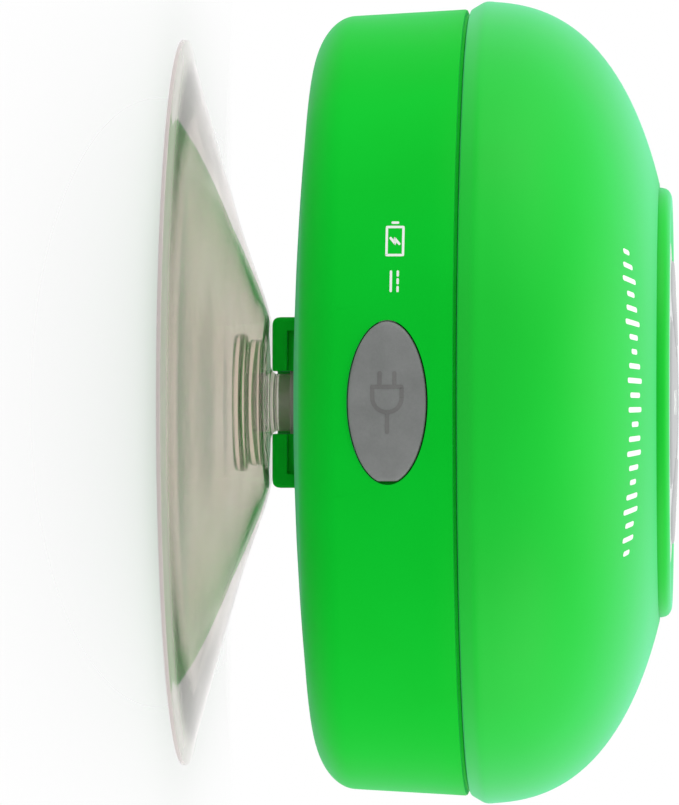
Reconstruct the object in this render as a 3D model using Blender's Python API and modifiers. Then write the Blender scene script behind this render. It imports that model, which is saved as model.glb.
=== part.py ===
"""A round shower speaker that stands or hangs on a clear suction cup.

The axis of the object is Z. The suction cup's rim lies on Z = 0, the control face looks up,
and the charging port looks towards -Y. Every size below is in millimetres, and the makers
turn it into metres.
"""

import math

import bmesh
import bpy

MM = 0.001

# Driving dimensions
BODY_RADIUS = 43.0  # the ridge where the front shell is widest
CUP_RADIUS = 39.0
HUB_TOP_Z = 9.35  # top of the suction cup, under its neck
BACK_FACE_Z = 12.3  # lowest point of the domed back
PARTING_Z = 30.75  # joint line between the two shells
RIDGE_Z = 32.5
DOME_BASE_Z = 31.0  # the front curve is a superellipse that springs from here
DOME_RISE = 22.27  # its height over that, if it closed on the axis
DOME_POWER, DOME_UP_POWER = 2.35, 2.65  # 2 and 2 would be an ellipse
WALL = 2.0
BEZEL_RADIUS = 23.05
BEZEL_TOP_Z = 52.35
FASCIA_RADIUS = 17.4
FASCIA_TOP_Z = 52.85
KEY_PROUD = 0.25  # how far a key stands above the fascia
PORT_Z = 23.85
PORT_HALF_LENGTH = 8.3
PORT_HALF_HEIGHT = 4.1

# Fits
REST_GAP = 0.1  # between faces that rest on each other
SIDE_GAP = 0.3  # between a piece and the opening around it
ROUND_STEPS = 48
SMALL_STEPS = 24
SCREW_STEPS = 12

# Back shell
BACK_DOME_RADIUS = 310.0
SIDE_TOP_RADIUS = 42.15
SIDE_FOOT_RADIUS = 41.5
SIDE_FOOT_Z = 18.75
CORNER_WIDTH, CORNER_HEIGHT = 6.6, 4.45
LAND_RADIUS, LAND_Z = 12.8, 12.75  # flat seat of the cup holder
LIP_TOP_Z = 31.8
FLOOR_Z = 14.5

# Screws that close the case
CASE_SCREW_CIRCLE = 33.0
CASE_SCREW_ANGLES = (45, 135, 225, 315)
WELL_RADIUS, WELL_TOP_Z = 2.7, 21.0

# Cup holder
HOLDER_HALF_WIDTH = 9.1
HOLDER_FRONT_Y = -8.3
HOLDER_BOTTOM_Z = 9.95
HOLDER_PLATE_TOP_Z = 11.6
HEAD_SLOT_HALF_WIDTH = 7.6
NECK_SLOT_HALF_WIDTH = 3.35
NECK_RADIUS = 3.1
HEAD_RADIUS = 7.0

# Front shell's driver seat and the parts stacked over it
SEAT_BOTTOM_Z, SEAT_TOP_Z = 45.4, 47.0
SEAT_HOLE_RADIUS = 18.6
CHAMBER_RADIUS = 21.4
BEZEL_SEAT_Z = 49.8
SOCKET_RADIUS = BEZEL_RADIUS + SIDE_GAP
BUTTON_BOARD_Z = 48.9
BUTTON_BOARD_TOP_Z = 49.7
SLOT_INNER, SLOT_OUTER = 18.5, 20.7
SLOT_COUNT = 24
KEY_BOTTOM_Z = 51.0
FASCIA_BOTTOM_Z = 51.6
CENTRE_KEY_RADIUS = 5.0
RING_KEY_INNER, RING_KEY_OUTER = 6.4, 15.2
RING_KEY_INSET = 1.35  # from the diagonal between two keys to a key's edge
RING_SWITCH_RADIUS = 10.9
RING_KEYS = {"next_key": 0, "call_key": 90, "previous_key": 180, "play_key": 270}

# Driver
FRAME_RADIUS = 24.6
FRAME_TOP_Z = 44.3
DRIVER_SCREW_CIRCLE = 22.9
DRIVER_SCREW_ANGLES = (90, 210, 330)
COIL_RADIUS = 6.5

# Main board
BOARD_BOTTOM_Z, BOARD_TOP_Z = 21.15, 22.35
BOARD_HALF_WIDTH = 14.0
BOARD_FRONT_Y, BOARD_BACK_Y = -36.0, -8.0
BOARD_SCREWS = {"board_screw_1": (-11.0, -12.0), "board_screw_2": (11.0, -31.5)}
RIBBON_Y = -20.8
RIBBON_HALF_WIDTH = 3.0


# Scene and materials

for leftover in list(bpy.data.objects):
    bpy.data.objects.remove(leftover)

PARTS = bpy.data.collections.new("shower_speaker")
CUTTERS = bpy.data.collections.new("shower_speaker_cutters")
for group in (PARTS, CUTTERS):
    bpy.context.scene.collection.children.link(group)


def material(name, colour, roughness, metallic=0.0, transmission=0.0):
    made = bpy.data.materials.new(name)
    made.use_nodes = True
    surface = made.node_tree.nodes["Principled BSDF"]
    surface.inputs["Base Color"].default_value = (*colour, 1.0)
    surface.inputs["Roughness"].default_value = roughness
    surface.inputs["Metallic"].default_value = metallic
    surface.inputs["Transmission Weight"].default_value = transmission
    made.diffuse_color = (*colour, 1.0)
    return made


GREEN_SHELL = material("green_shell", (0.0, 0.52, 0.06), 0.5)
CLEAR_VINYL = material("clear_vinyl", (0.86, 0.84, 0.8), 0.08, transmission=0.9)
GREY_RUBBER = material("grey_rubber", (0.24, 0.24, 0.24), 0.6)
SILVER_PLASTIC = material("silver_plastic", (0.6, 0.6, 0.6), 0.35, 0.3)
BLACK_RUBBER = material("black_rubber", (0.02, 0.02, 0.02), 0.7)
BLACK_PLASTIC = material("black_plastic", (0.03, 0.03, 0.03), 0.5)
WHITE_PLASTIC = material("white_plastic", (0.8, 0.8, 0.76), 0.4)
BRIGHT_STEEL = material("bright_steel", (0.6, 0.6, 0.6), 0.3, 1.0)
FERRITE = material("ferrite", (0.06, 0.06, 0.065), 0.6, 0.4)
COPPER = material("copper", (0.72, 0.33, 0.16), 0.35, 1.0)
PAPER = material("pressed_paper", (0.04, 0.04, 0.045), 0.9)
AMBER_CLOTH = material("amber_cloth", (0.55, 0.33, 0.1), 0.9)
GREEN_BOARD = material("green_board", (0.01, 0.14, 0.06), 0.4)
SILVER_FOIL = material("silver_foil", (0.65, 0.66, 0.68), 0.35, 0.8)
GREY_FOAM = material("grey_foam", (0.12, 0.12, 0.13), 0.95)
RED_WIRE = material("red_wire", (0.55, 0.02, 0.02), 0.45)
BLACK_WIRE = material("black_wire", (0.02, 0.02, 0.02), 0.45)
CLEAR_PIPE = material("clear_pipe", (0.9, 0.9, 0.92), 0.1, transmission=0.9)


# Makers: each returns one object

def place(obj, name, surface, group=None):
    obj.name = name
    if surface:
        obj.data.materials.append(surface)
    for holder in list(obj.users_collection):
        holder.objects.unlink(obj)
    (group or PARTS).objects.link(obj)
    return obj


def shaded(mesh, angle=35):
    """Smooth over shallow edges and crisp at the others."""
    mesh.shade_smooth()
    mesh.set_sharp_from_angle(angle=math.radians(angle))


def turned(name, profile, surface, steps=ROUND_STEPS, group=None):
    """A solid of revolution from (radius, z) points that run down its outer side.
    A profile that starts and ends on the axis is left open, and any other is closed."""
    mesh = bpy.data.meshes.new(name)
    count = len(profile)
    on_axis = profile[0][0] == 0 and profile[-1][0] == 0
    edges = [(i, i + 1) for i in range(count - 1)]
    if not on_axis:
        edges.append((count - 1, 0))
    mesh.from_pydata([(r * MM, 0, z * MM) for r, z in profile], edges, [])
    obj = bpy.data.objects.new(name, mesh)
    PARTS.objects.link(obj)
    screw = obj.modifiers.new("turn", "SCREW")
    screw.axis = "Z"
    screw.steps = screw.render_steps = steps
    screw.use_merge_vertices = True
    screw.merge_threshold = 1e-6
    graph = bpy.context.evaluated_depsgraph_get()
    whole = bpy.data.meshes.new_from_object(obj.evaluated_get(graph))
    obj.modifiers.clear()
    obj.data = whole
    bpy.data.meshes.remove(mesh)
    shaded(whole)
    return place(obj, name, surface, group)


def drum(name, radius, low, high, surface, at=(0, 0), steps=SMALL_STEPS, group=None):
    """An upright cylinder between two heights."""
    bpy.ops.mesh.primitive_cylinder_add(
        vertices=steps,
        radius=radius * MM,
        depth=(high - low) * MM,
        location=(at[0] * MM, at[1] * MM, (low + high) / 2 * MM),
    )
    obj = bpy.context.object
    shaded(obj.data)
    return place(obj, name, surface, group)


def block(name, low, high, surface, bevel=0.0, group=None):
    """A box between two corners, with rounded edges if bevel says so."""
    size = [h - l for l, h in zip(low, high)]
    bpy.ops.mesh.primitive_cube_add(
        size=1, location=[(l + h) / 2 * MM for l, h in zip(low, high)]
    )
    obj = bpy.context.object
    for vertex in obj.data.vertices:
        for k in range(3):
            vertex.co[k] *= size[k] * MM
    if bevel:
        rounding = obj.modifiers.new("edges", "BEVEL")
        rounding.width = bevel * MM
        rounding.segments = 1
    return place(obj, name, surface, group)


def plate(name, outline, low, high, surface, group=None):
    """A flat outline in X and Y, made solid between two heights."""
    curve = bpy.data.curves.new(name, "CURVE")
    curve.dimensions = "2D"
    curve.fill_mode = "BOTH"
    curve.extrude = (high - low) / 2 * MM
    spline = curve.splines.new("POLY")
    spline.points.add(len(outline) - 1)
    for point, (x, y) in zip(spline.points, outline):
        point.co = (x * MM, y * MM, 0, 1)
    spline.use_cyclic_u = True
    guide = bpy.data.objects.new(name + "_outline", curve)
    PARTS.objects.link(guide)
    guide.location.z = (low + high) / 2 * MM
    bpy.context.view_layer.update()
    graph = bpy.context.evaluated_depsgraph_get()
    mesh = bpy.data.meshes.new_from_object(guide.evaluated_get(graph))
    bm = bmesh.new()
    bm.from_mesh(mesh)
    bmesh.ops.remove_doubles(bm, verts=bm.verts, dist=1e-7)
    bmesh.ops.recalc_face_normals(bm, faces=bm.faces)
    bm.to_mesh(mesh)
    bm.free()
    obj = bpy.data.objects.new(name, mesh)
    PARTS.objects.link(obj)
    obj.matrix_world = guide.matrix_world
    bpy.data.objects.remove(guide)
    shaded(mesh)
    return place(obj, name, surface, group)


def wire(name, radius, route, surface):
    """A round wire along a smooth curve through the route's points."""
    curve = bpy.data.curves.new(name, "CURVE")
    curve.dimensions = "3D"
    curve.bevel_depth = radius * MM
    curve.bevel_resolution = 1
    curve.use_fill_caps = True
    points = smooth_route(route)
    spline = curve.splines.new("POLY")
    spline.points.add(len(points) - 1)
    for point, at in zip(spline.points, points):
        point.co = (*(v * MM for v in at), 1)
    obj = bpy.data.objects.new(name, curve)
    PARTS.objects.link(obj)
    return place(obj, name, surface)


def smooth_route(route, between=3):
    """Catmull-Rom points through the route, with its ends held."""
    ends = [route[0], *route, route[-1]]
    found = []
    for a, b, c, d in zip(ends, ends[1:], ends[2:], ends[3:]):
        for step in range(between):
            t = step / between
            found.append(
                [
                    0.5 * (2 * q + (r - p) * t + (2 * p - 5 * q + 4 * r - s) * t**2
                           + (3 * q - p - 3 * r + s) * t**3)
                    for p, q, r, s in zip(a, b, c, d)
                ]
            )
    return [*found, list(route[-1])]


def combine(obj, other, operation="DIFFERENCE"):
    """Cuts, joins or keeps what both share. The other object becomes a hidden helper."""
    step = obj.modifiers.new(other.name, "BOOLEAN")
    step.operation = operation
    step.solver = "EXACT"
    step.object = other
    other.hide_render = True
    other.display_type = "WIRE"
    if other.name not in CUTTERS.objects:
        place(other, other.name, None, CUTTERS)
    return obj


def hole(obj, name, radius, low, high, at, steps=SCREW_STEPS):
    return combine(obj, drum(name, radius, low, high, None, at, steps, CUTTERS))


def post(obj, name, radius, low, high, at, steps=24):
    return combine(obj, drum(name, radius, low, high, None, at, steps, CUTTERS), "UNION")


def on_circle(radius, degrees):
    angle = math.radians(degrees)
    return radius * math.cos(angle), radius * math.sin(angle)


def arc(centre, width, height, start, end, count):
    """Points on an ellipse's arc, with angles in degrees."""
    return [
        (
            centre[0] + width * math.cos(math.radians(start + (end - start) * i / count)),
            centre[1] + height * math.sin(math.radians(start + (end - start) * i / count)),
        )
        for i in range(count + 1)
    ]


def dome_z(radius, base=BODY_RADIUS, rise=DOME_RISE):
    """Height of the front curve at a radius."""
    return DOME_BASE_Z + rise * (1 - (radius / base) ** DOME_POWER) ** (1 / DOME_UP_POWER)


def fascia_z(radius):
    """Height of the control face at a radius: a shallow dome."""
    return FASCIA_TOP_Z - 0.6 * (radius / FASCIA_RADIUS) ** 2


# Suction cup: one clear vinyl moulding with a rim, a stepped hub, a neck and a round head

def suction_cup():
    head_low, head_high = HOLDER_PLATE_TOP_Z + 0.15, LAND_Z - 0.15
    upper = [
        (0, head_high),
        (HEAD_RADIUS - 0.4, head_high),
        (HEAD_RADIUS, head_high - 0.25),
        (HEAD_RADIUS, head_low),
        (NECK_RADIUS, head_low),
        (NECK_RADIUS, HUB_TOP_Z + 0.3),
        (NECK_RADIUS + 0.5, HUB_TOP_Z),
        (9.2, HUB_TOP_Z),
        (12.0, 8.4),
        (18.6, 6.05),
        (25.7, 4.0),
        (33.6, 1.75),
        (CUP_RADIUS, 0.35),
        (CUP_RADIUS, 0),
    ]
    under = [
        (CUP_RADIUS - 1.0, 0),
        (33.3, 1.05),
        (25.4, 3.0),
        (18.2, 4.95),
        (9.6, 7.8),
        (8.3, 7.6),
        (7.8, 6.7),
        (5.3, 6.2),
        (4.8, 5.1),
        (0, 4.85),
    ]
    return turned("suction_cup", upper + under, CLEAR_VINYL)


# Back shell: a bowl with screw wells, board posts, a flat seat for the holder and the port recess

def back_shell():
    inside = [(r, FLOOR_Z + r * r / (2 * BACK_DOME_RADIUS)) for r in (0, 22, 33)]
    inside += arc((33.2, 20.9), 6.4, 4.6, -85, 0, 3)
    inside += [(39.9, 29.0), (39.9, LIP_TOP_Z), (40.95, LIP_TOP_Z), (40.95, PARTING_Z - 0.15)]
    outside = [(SIDE_TOP_RADIUS, PARTING_Z - 0.15)]
    corner = (SIDE_FOOT_RADIUS - CORNER_WIDTH, SIDE_FOOT_Z)
    outside += arc(corner, CORNER_WIDTH, CORNER_HEIGHT, 0, -84, 5)
    outside += [(r, BACK_FACE_Z + r * r / (2 * BACK_DOME_RADIUS)) for r in (24, LAND_RADIUS)]
    outside += [(LAND_RADIUS, LAND_Z), (0, LAND_Z)]
    shell = turned("back_shell", inside + outside, GREEN_SHELL)
    pad = block("port_pad", (-9.6, -40.2, PORT_Z - 5.2), (9.6, -38.2, PORT_Z + 5.2), None, 0, CUTTERS)
    combine(shell, pad, "UNION")
    for number, angle in enumerate(CASE_SCREW_ANGLES, 1):
        at = on_circle(CASE_SCREW_CIRCLE, angle)
        post(shell, f"case_boss_{number}", 4.2, 15.0, PARTING_Z - 0.2, at)
        hole(shell, f"case_well_{number}", WELL_RADIUS, 10.0, WELL_TOP_Z, at, 24)
        hole(shell, f"case_hole_{number}", 1.5, WELL_TOP_Z - 1, 32.0, at)
    for name, at in BOARD_SCREWS.items():
        post(shell, f"{name}_post", 2.2, 13.8, BOARD_BOTTOM_Z - REST_GAP, at, SCREW_STEPS)
        hole(shell, f"{name}_pilot", 1.05, 16.5, 22.0, at, 12)
    recess = oval("port_recess", PORT_HALF_LENGTH + 0.25, PORT_HALF_HEIGHT + 0.25, -45.0, -40.1)
    combine(shell, recess)
    window = block("port_window", (-4.2, -41, PORT_Z - 1.7), (4.2, -37, PORT_Z + 1.7), None, 0, CUTTERS)
    combine(shell, window)
    tether_slot = block(
        "tether_slot", (-7.8, -41, PORT_Z - 1.5), (-6.2, -37, PORT_Z + 1.5), None, 0, CUTTERS
    )
    combine(shell, tether_slot)
    bpy.ops.mesh.primitive_uv_sphere_add(
        segments=16, ring_count=8, radius=2.0 * MM, location=(8.9 * MM, -42.3 * MM, PORT_Z * MM)
    )
    notch = place(bpy.context.object, "finger_notch", None, CUTTERS)
    combine(shell, notch)
    return shell


def oval(name, half_length, half_height, front, rear, steps=40):
    """An elliptic prism along Y, centred on the charging port."""
    bpy.ops.mesh.primitive_cylinder_add(
        vertices=steps,
        radius=1,
        depth=(rear - front) * MM,
        location=(0, (front + rear) / 2 * MM, PORT_Z * MM),
        rotation=(math.radians(90), 0, 0),
    )
    prism = bpy.context.object
    for vertex in prism.data.vertices:
        vertex.co.x *= half_length * MM
        vertex.co.y *= half_height * MM
    shaded(prism.data)
    return place(prism, name, None, CUTTERS)


# Front shell: the domed cover, with the bezel's socket, the driver's seat and four screw posts

def front_shell():
    radii = (23.35, 27, 31, 34.5, 37.5, 40, 41.8, 42.7)
    outside = [(r, dome_z(r)) for r in radii] + [(BODY_RADIUS, RIDGE_Z)]
    lower = [(42.05, PARTING_Z + 0.2), (41.3, PARTING_Z + 0.2), (41.3, 33.7)]
    inner_radii = (40.9, 39.5, 36.5, 32, 26)
    inside = [(r, dome_z(r, BODY_RADIUS - WALL, DOME_RISE - WALL)) for r in inner_radii]
    seat = [
        (25.6, 48.3),
        (25.2, 47.6),
        (25.2, SEAT_BOTTOM_Z),
        (SEAT_HOLE_RADIUS, SEAT_BOTTOM_Z),
        (SEAT_HOLE_RADIUS, SEAT_TOP_Z),
        (CHAMBER_RADIUS, SEAT_TOP_Z),
        (CHAMBER_RADIUS, BEZEL_SEAT_Z),
        (SOCKET_RADIUS, BEZEL_SEAT_Z),
    ]
    shell = turned("front_shell", outside + lower + inside + seat, GREEN_SHELL)
    for number, angle in enumerate(CASE_SCREW_ANGLES, 1):
        at = on_circle(CASE_SCREW_CIRCLE, angle)
        post(shell, f"front_post_{number}", 3.6, PARTING_Z + 0.2, 44.9, at)
        hole(shell, f"front_pilot_{number}", 1.3, 30.0, 35.0, at)
    for number, angle in enumerate(DRIVER_SCREW_ANGLES, 1):
        at = on_circle(DRIVER_SCREW_CIRCLE, angle)
        hole(shell, f"driver_pilot_{number}", 0.95, 44.0, 48.6, at, 12)
    slit = block(
        "ribbon_slit",
        (-RIBBON_HALF_WIDTH - 0.5, RIBBON_Y - 0.3, 44.0),
        (RIBBON_HALF_WIDTH + 0.5, RIBBON_Y + 0.4, 47.5),
        None,
        0,
        CUTTERS,
    )
    return combine(shell, slit)


def case_fittings():
    """The seal between the shells and the four screws that pull them together."""
    low, high = LIP_TOP_Z + REST_GAP, 33.7 - REST_GAP
    middle = (low + high) / 2
    ring = arc((40.45, middle), 0.5, (high - low) / 2, 90, -210, 5)
    turned("case_seal", ring, BLACK_RUBBER)
    for number, angle in enumerate(CASE_SCREW_ANGLES, 1):
        screw(
            f"case_screw_{number}",
            on_circle(CASE_SCREW_CIRCLE, angle),
            head_radius=2.4,
            head=(19.2, WELL_TOP_Z - REST_GAP),
            shank_radius=1.1,
            tip=33.4,
        )


def screw(name, at, head_radius, head, shank_radius, tip):
    """A pan-head screw along Z with a cross recess. The tip may be over or under the head."""
    head_low, head_high = head
    up = 1 if tip > head_high else -1
    crown, neck = (head_low, head_high) if up > 0 else (head_high, head_low)
    side = [
        (0, tip),
        (shank_radius, tip - up * 0.5),
        (shank_radius, neck),
        (head_radius, neck),
        (head_radius, crown + up * 0.4),
        (head_radius * 0.75, crown),
        (0, crown),
    ]
    made = turned(name, side if up > 0 else side[::-1], BRIGHT_STEEL, SCREW_STEPS)
    made.location = (at[0] * MM, at[1] * MM, 0)
    half = head_radius * 0.6
    low, high = sorted((crown - up, crown + up * 0.55))
    for turn, (x, y) in enumerate(((half, 0.25), (0.25, half))):
        bar = block(f"{name}_cross_{turn}", (at[0] - x, at[1] - y, low), (at[0] + x, at[1] + y, high), None)
        combine(made, bar)
    return made


# Cup holder: a keyhole clip bonded to the back, open towards the port side, with two stops at
# the mouth that the soft head is pressed past

def arch(half_width, front, steps=14):
    """A U outline: straight arms to the front and a half circle at the back."""
    bend = arc((0, 0), half_width, half_width, 0, 180, steps)
    return [*bend, (-half_width, front), (half_width, front)]


def cup_holder():
    outline = arch(HOLDER_HALF_WIDTH, HOLDER_FRONT_Y)
    holder = plate("cup_holder", outline, HOLDER_BOTTOM_Z, LAND_Z - REST_GAP, GREEN_SHELL)
    head_slot = plate(
        "head_slot", arch(HEAD_SLOT_HALF_WIDTH, -12), HOLDER_PLATE_TOP_Z, 14, None, CUTTERS
    )
    neck_slot = plate("neck_slot", arch(NECK_SLOT_HALF_WIDTH, -12), 8, 14, None, CUTTERS)
    combine(holder, head_slot)
    for side, low, high in (("left", -7.8, -3.0), ("right", 3.0, 7.8)):
        stop = block(f"holder_stop_{side}", (low, -8.0, 11.2), (high, -6.6, 12.6), None, 0, CUTTERS)
        combine(holder, stop, "UNION")
    return combine(holder, neck_slot)


# Port cap: a rubber plug over the charging socket, and the strap that holds it

def port_cap():
    cap = oval("port_cap", PORT_HALF_LENGTH, PORT_HALF_HEIGHT, -43.5, -40.4)
    place(cap, "port_cap", GREY_RUBBER)
    facing = drum("cap_facing", 41.95, PORT_Z - 8, PORT_Z + 8, None, steps=128, group=CUTTERS)
    combine(cap, facing, "INTERSECT")
    tongue = block(
        "cap_tongue", (-3.8, -41.0, PORT_Z - 1.35), (3.8, -39.8, PORT_Z + 1.35), None, 0, CUTTERS
    )
    combine(cap, tongue, "UNION")
    strap = block(
        "cap_tether", (-7.6, -40.05, PORT_Z - 1.25), (-6.4, -38.0, PORT_Z + 1.25), GREY_RUBBER
    )
    barb = block("tether_barb", (-7.9, -38.1, PORT_Z - 1.9), (-6.1, -37.3, PORT_Z + 1.9), None, 0, CUTTERS)
    combine(strap, barb, "UNION")


# Front: bezel with sound slots, mesh, fascia, keys, switches and their board

def grille_bezel():
    section = [
        (21.6, BEZEL_TOP_Z),
        (22.2, BEZEL_TOP_Z - 0.1),
        (22.75, BEZEL_TOP_Z - 0.5),
        (BEZEL_RADIUS, BEZEL_TOP_Z - 1.05),
        (BEZEL_RADIUS, BEZEL_SEAT_Z + REST_GAP),
        (16.4, BEZEL_SEAT_Z + REST_GAP),
        (16.4, FASCIA_BOTTOM_Z - REST_GAP),
        (18.0, FASCIA_BOTTOM_Z - REST_GAP),
        (20.9, BEZEL_TOP_Z - 0.15),
    ]
    bezel = turned("grille_bezel", section, GREEN_SHELL)
    for number in range(SLOT_COUNT):
        angle = 2 * math.pi * (number + 0.5) / SLOT_COUNT
        cutter = block(
            f"sound_slot_{number + 1}", (SLOT_INNER, -0.75, 49), (SLOT_OUTER, 0.75, 54), None, 0, CUTTERS
        )
        middle = (SLOT_INNER + SLOT_OUTER) / 2 * MM
        cutter.location.x = middle * math.cos(angle)
        cutter.location.y = middle * math.sin(angle)
        cutter.rotation_euler.z = angle
        combine(bezel, cutter)
    ring = [(21.1, 49.75), (21.1, 49.5), (17.3 + 0.9, 49.5), (17.3 + 0.9, 49.75)]
    turned("acoustic_mesh", ring, BLACK_RUBBER, steps=32)


def key_outline(inner, outer, inset, angle):
    """A quarter of a ring, less a strip along each diagonal."""
    def reach(radius):
        return 45 - math.degrees(math.asin(inset / radius))

    a, b = reach(outer), reach(inner)
    outside = arc((0, 0), outer, outer, angle - a, angle + a, 8)
    inside = arc((0, 0), inner, inner, angle + b, angle - b, 4)
    return outside + inside


def keys_and_fascia():
    dome = [(r, fascia_z(r)) for r in (0, 9, 17.0)]
    fascia = turned(
        "control_fascia",
        [*dome, (FASCIA_RADIUS, fascia_z(17.0) - 0.2), (FASCIA_RADIUS, FASCIA_BOTTOM_Z), (0, FASCIA_BOTTOM_Z)],
        SILVER_PLASTIC,
    )
    hole(fascia, "centre_opening", CENTRE_KEY_RADIUS + 0.25, 51, 54, (0, 0), SMALL_STEPS)
    crown = CENTRE_KEY_RADIUS - 0.4
    turned(
        "power_key",
        [
            (0, FASCIA_TOP_Z + KEY_PROUD),
            (crown, FASCIA_TOP_Z + KEY_PROUD - 0.05),
            (CENTRE_KEY_RADIUS, FASCIA_TOP_Z + KEY_PROUD - 0.3),
            (CENTRE_KEY_RADIUS, FASCIA_BOTTOM_Z - 0.15),
            (CENTRE_KEY_RADIUS + 0.6, FASCIA_BOTTOM_Z - 0.15),
            (CENTRE_KEY_RADIUS + 0.6, KEY_BOTTOM_Z),
            (0, KEY_BOTTOM_Z),
        ],
        GREY_RUBBER,
        steps=SMALL_STEPS,
    )
    for name, angle in RING_KEYS.items():
        opening = plate(
            f"{name}_opening",
            key_outline(RING_KEY_INNER - 0.25, RING_KEY_OUTER + 0.25, RING_KEY_INSET - 0.25, angle),
            51,
            54,
            None,
            CUTTERS,
        )
        combine(fascia, opening)
        key = plate(
            name,
            key_outline(RING_KEY_INNER, RING_KEY_OUTER, RING_KEY_INSET, angle),
            KEY_BOTTOM_Z,
            54,
            GREY_RUBBER,
        )
        crest = [(r, fascia_z(r) + KEY_PROUD) for r in (0, 9, 14, 19)]
        combine(key, turned(f"{name}_crest", [*crest, (19, 50), (0, 50)], None, SMALL_STEPS, CUTTERS), "INTERSECT")
        foot = plate(
            f"{name}_foot",
            key_outline(RING_KEY_INNER - 0.4, RING_KEY_OUTER + 0.5, RING_KEY_INSET - 0.5, angle),
            KEY_BOTTOM_Z,
            FASCIA_BOTTOM_Z - 0.15,
            None,
            CUTTERS,
        )
        combine(key, foot, "UNION")
    hole(fascia, "sound_inlet", 0.45, 51, 54, on_circle(13.2, 45), 12)
    hole(fascia, "light_opening", 0.85, 51, 54, on_circle(13.2, 135), 12)


def button_board():
    board = drum("button_board", 17.9, BUTTON_BOARD_Z, BUTTON_BOARD_TOP_Z, GREEN_BOARD, steps=32)
    top = BUTTON_BOARD_TOP_Z + REST_GAP
    places = {"power": (0, 0)}
    for name, angle in RING_KEYS.items():
        places[name.removesuffix("_key")] = on_circle(RING_SWITCH_RADIUS, angle)
    for name, (x, y) in places.items():
        body = block(f"{name}_switch", (x - 1.9, y - 1.9, top), (x + 1.9, y + 1.9, 50.4), BLACK_PLASTIC)
        hole(body, f"{name}_switch_bore", 1.15, 49, 52, (x, y))
        drum(f"{name}_plunger", 0.95, 50.2, KEY_BOTTOM_Z - REST_GAP, WHITE_PLASTIC, (x, y), SCREW_STEPS)
    x, y = on_circle(13.2, 45)
    block("microphone", (x - 1.3, y - 1.3, top), (x + 1.3, y + 1.3, 50.45), BRIGHT_STEEL)
    x, y = on_circle(13.2, 135)
    block("status_led", (x - 0.9, y - 0.9, top), (x + 0.9, y + 0.9, 50.4), WHITE_PLASTIC)
    drum("light_pipe", 0.65, 50.5, fascia_z(13.2) + 0.05, CLEAR_PIPE, (x, y), SCREW_STEPS)
    return board


# Driver: the loudspeaker itself, from the flange down to the yoke

def driver():
    frame = turned(
        "driver_frame",
        [
            (FRAME_RADIUS, FRAME_TOP_Z),
            (FRAME_RADIUS, FRAME_TOP_Z - 0.8),
            (19.6, FRAME_TOP_Z - 0.8),
            (12.8, 35.4),
            (12.8, 35.0),
            (8.0, 35.0),
            (8.0, 35.8),
            (12.3, 35.8),
            (18.7, FRAME_TOP_Z - 0.6),
            (18.7, FRAME_TOP_Z),
        ],
        BRIGHT_STEEL,
        steps=32,
    )
    for number, angle in enumerate((0, 60, 120, 180, 240, 300), 1):
        window = block(f"frame_window_{number}", (11, -3.4, 37.2), (20, 3.4, 42.2), None, 0, CUTTERS)
        window.location.x, window.location.y = (v * MM for v in on_circle(15.5, angle))
        window.rotation_euler.z = math.radians(angle)
        combine(frame, window)
    for number, angle in enumerate(DRIVER_SCREW_ANGLES, 1):
        at = on_circle(DRIVER_SCREW_CIRCLE, angle)
        hole(frame, f"frame_hole_{number}", 1.0, 43, 45, at, 12)
        screw(
            f"driver_screw_{number}",
            at,
            head_radius=1.5,
            head=(42.3, FRAME_TOP_Z - 0.8 - REST_GAP),
            shank_radius=0.8,
            tip=48.0,
        )
    notch = block("ribbon_notch", (-4.2, -26, 43), (4.2, RIBBON_Y + 0.45, 45), None, 0, CUTTERS)
    combine(frame, notch)
    turned(
        "driver_gasket",
        [(20.5, SEAT_BOTTOM_Z - REST_GAP), (20.5, 44.8), (19.0, 44.8), (19.0, SEAT_BOTTOM_Z - REST_GAP)],
        GREY_FOAM,
        steps=32,
    )
    turned("top_plate", [(12.0, 34.9), (12.0, 33.2), (7.0, 33.2), (7.0, 34.9)], BRIGHT_STEEL, steps=32)
    turned("magnet_ring", [(13.5, 33.1), (13.5, 28.6), (8.5, 28.6), (8.5, 33.1)], FERRITE, steps=32)
    yoke = [(0, 34.9), (6.0, 34.9), (6.0, 28.5), (12.5, 28.5), (12.5, 26.9), (0, 26.9)]
    turned("yoke", yoke, BRIGHT_STEEL, steps=32)


def moving_cone():
    turned("voice_coil", [(6.75, 39.6), (6.75, 32.0), (6.25, 32.0), (6.25, 39.6)], COPPER, SMALL_STEPS)
    turned(
        "cone",
        [(15.6, 44.2), (15.6, 43.9), (11.0, 41.6), (7.0, 39.2), (7.0, 39.6), (11.0, 42.0), (15.2, 44.2)],
        PAPER,
        steps=32,
    )
    cap_top = [(0, 42.6), (2.4, 42.35), (4.6, 41.6), (6.4, 40.4), (6.4, 40.1)]
    turned("dust_cap", [*cap_top, (4.4, 41.2), (2.4, 41.95), (0, 42.2)], PAPER, SMALL_STEPS)
    roll_out = arc((17.2, 44.4), 1.4, 0.9, 0, 180, 5)
    roll_in = arc((17.2, 44.35), 1.1, 0.6, 180, 0, 5)
    surround = [(20.3, 44.65), (20.3, 44.4), *reversed(roll_in), *reversed(roll_out)]
    turned("surround", surround, BLACK_RUBBER, steps=32)
    under = [(7.05 + i * 1.26, 37.2 + 0.35 * (i % 2)) for i in range(5)]
    over = [(r, z + 0.25) for r, z in under]
    turned("spider", [*over, *reversed(under)], AMBER_CLOTH, steps=32)


# Electronics in the back

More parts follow.
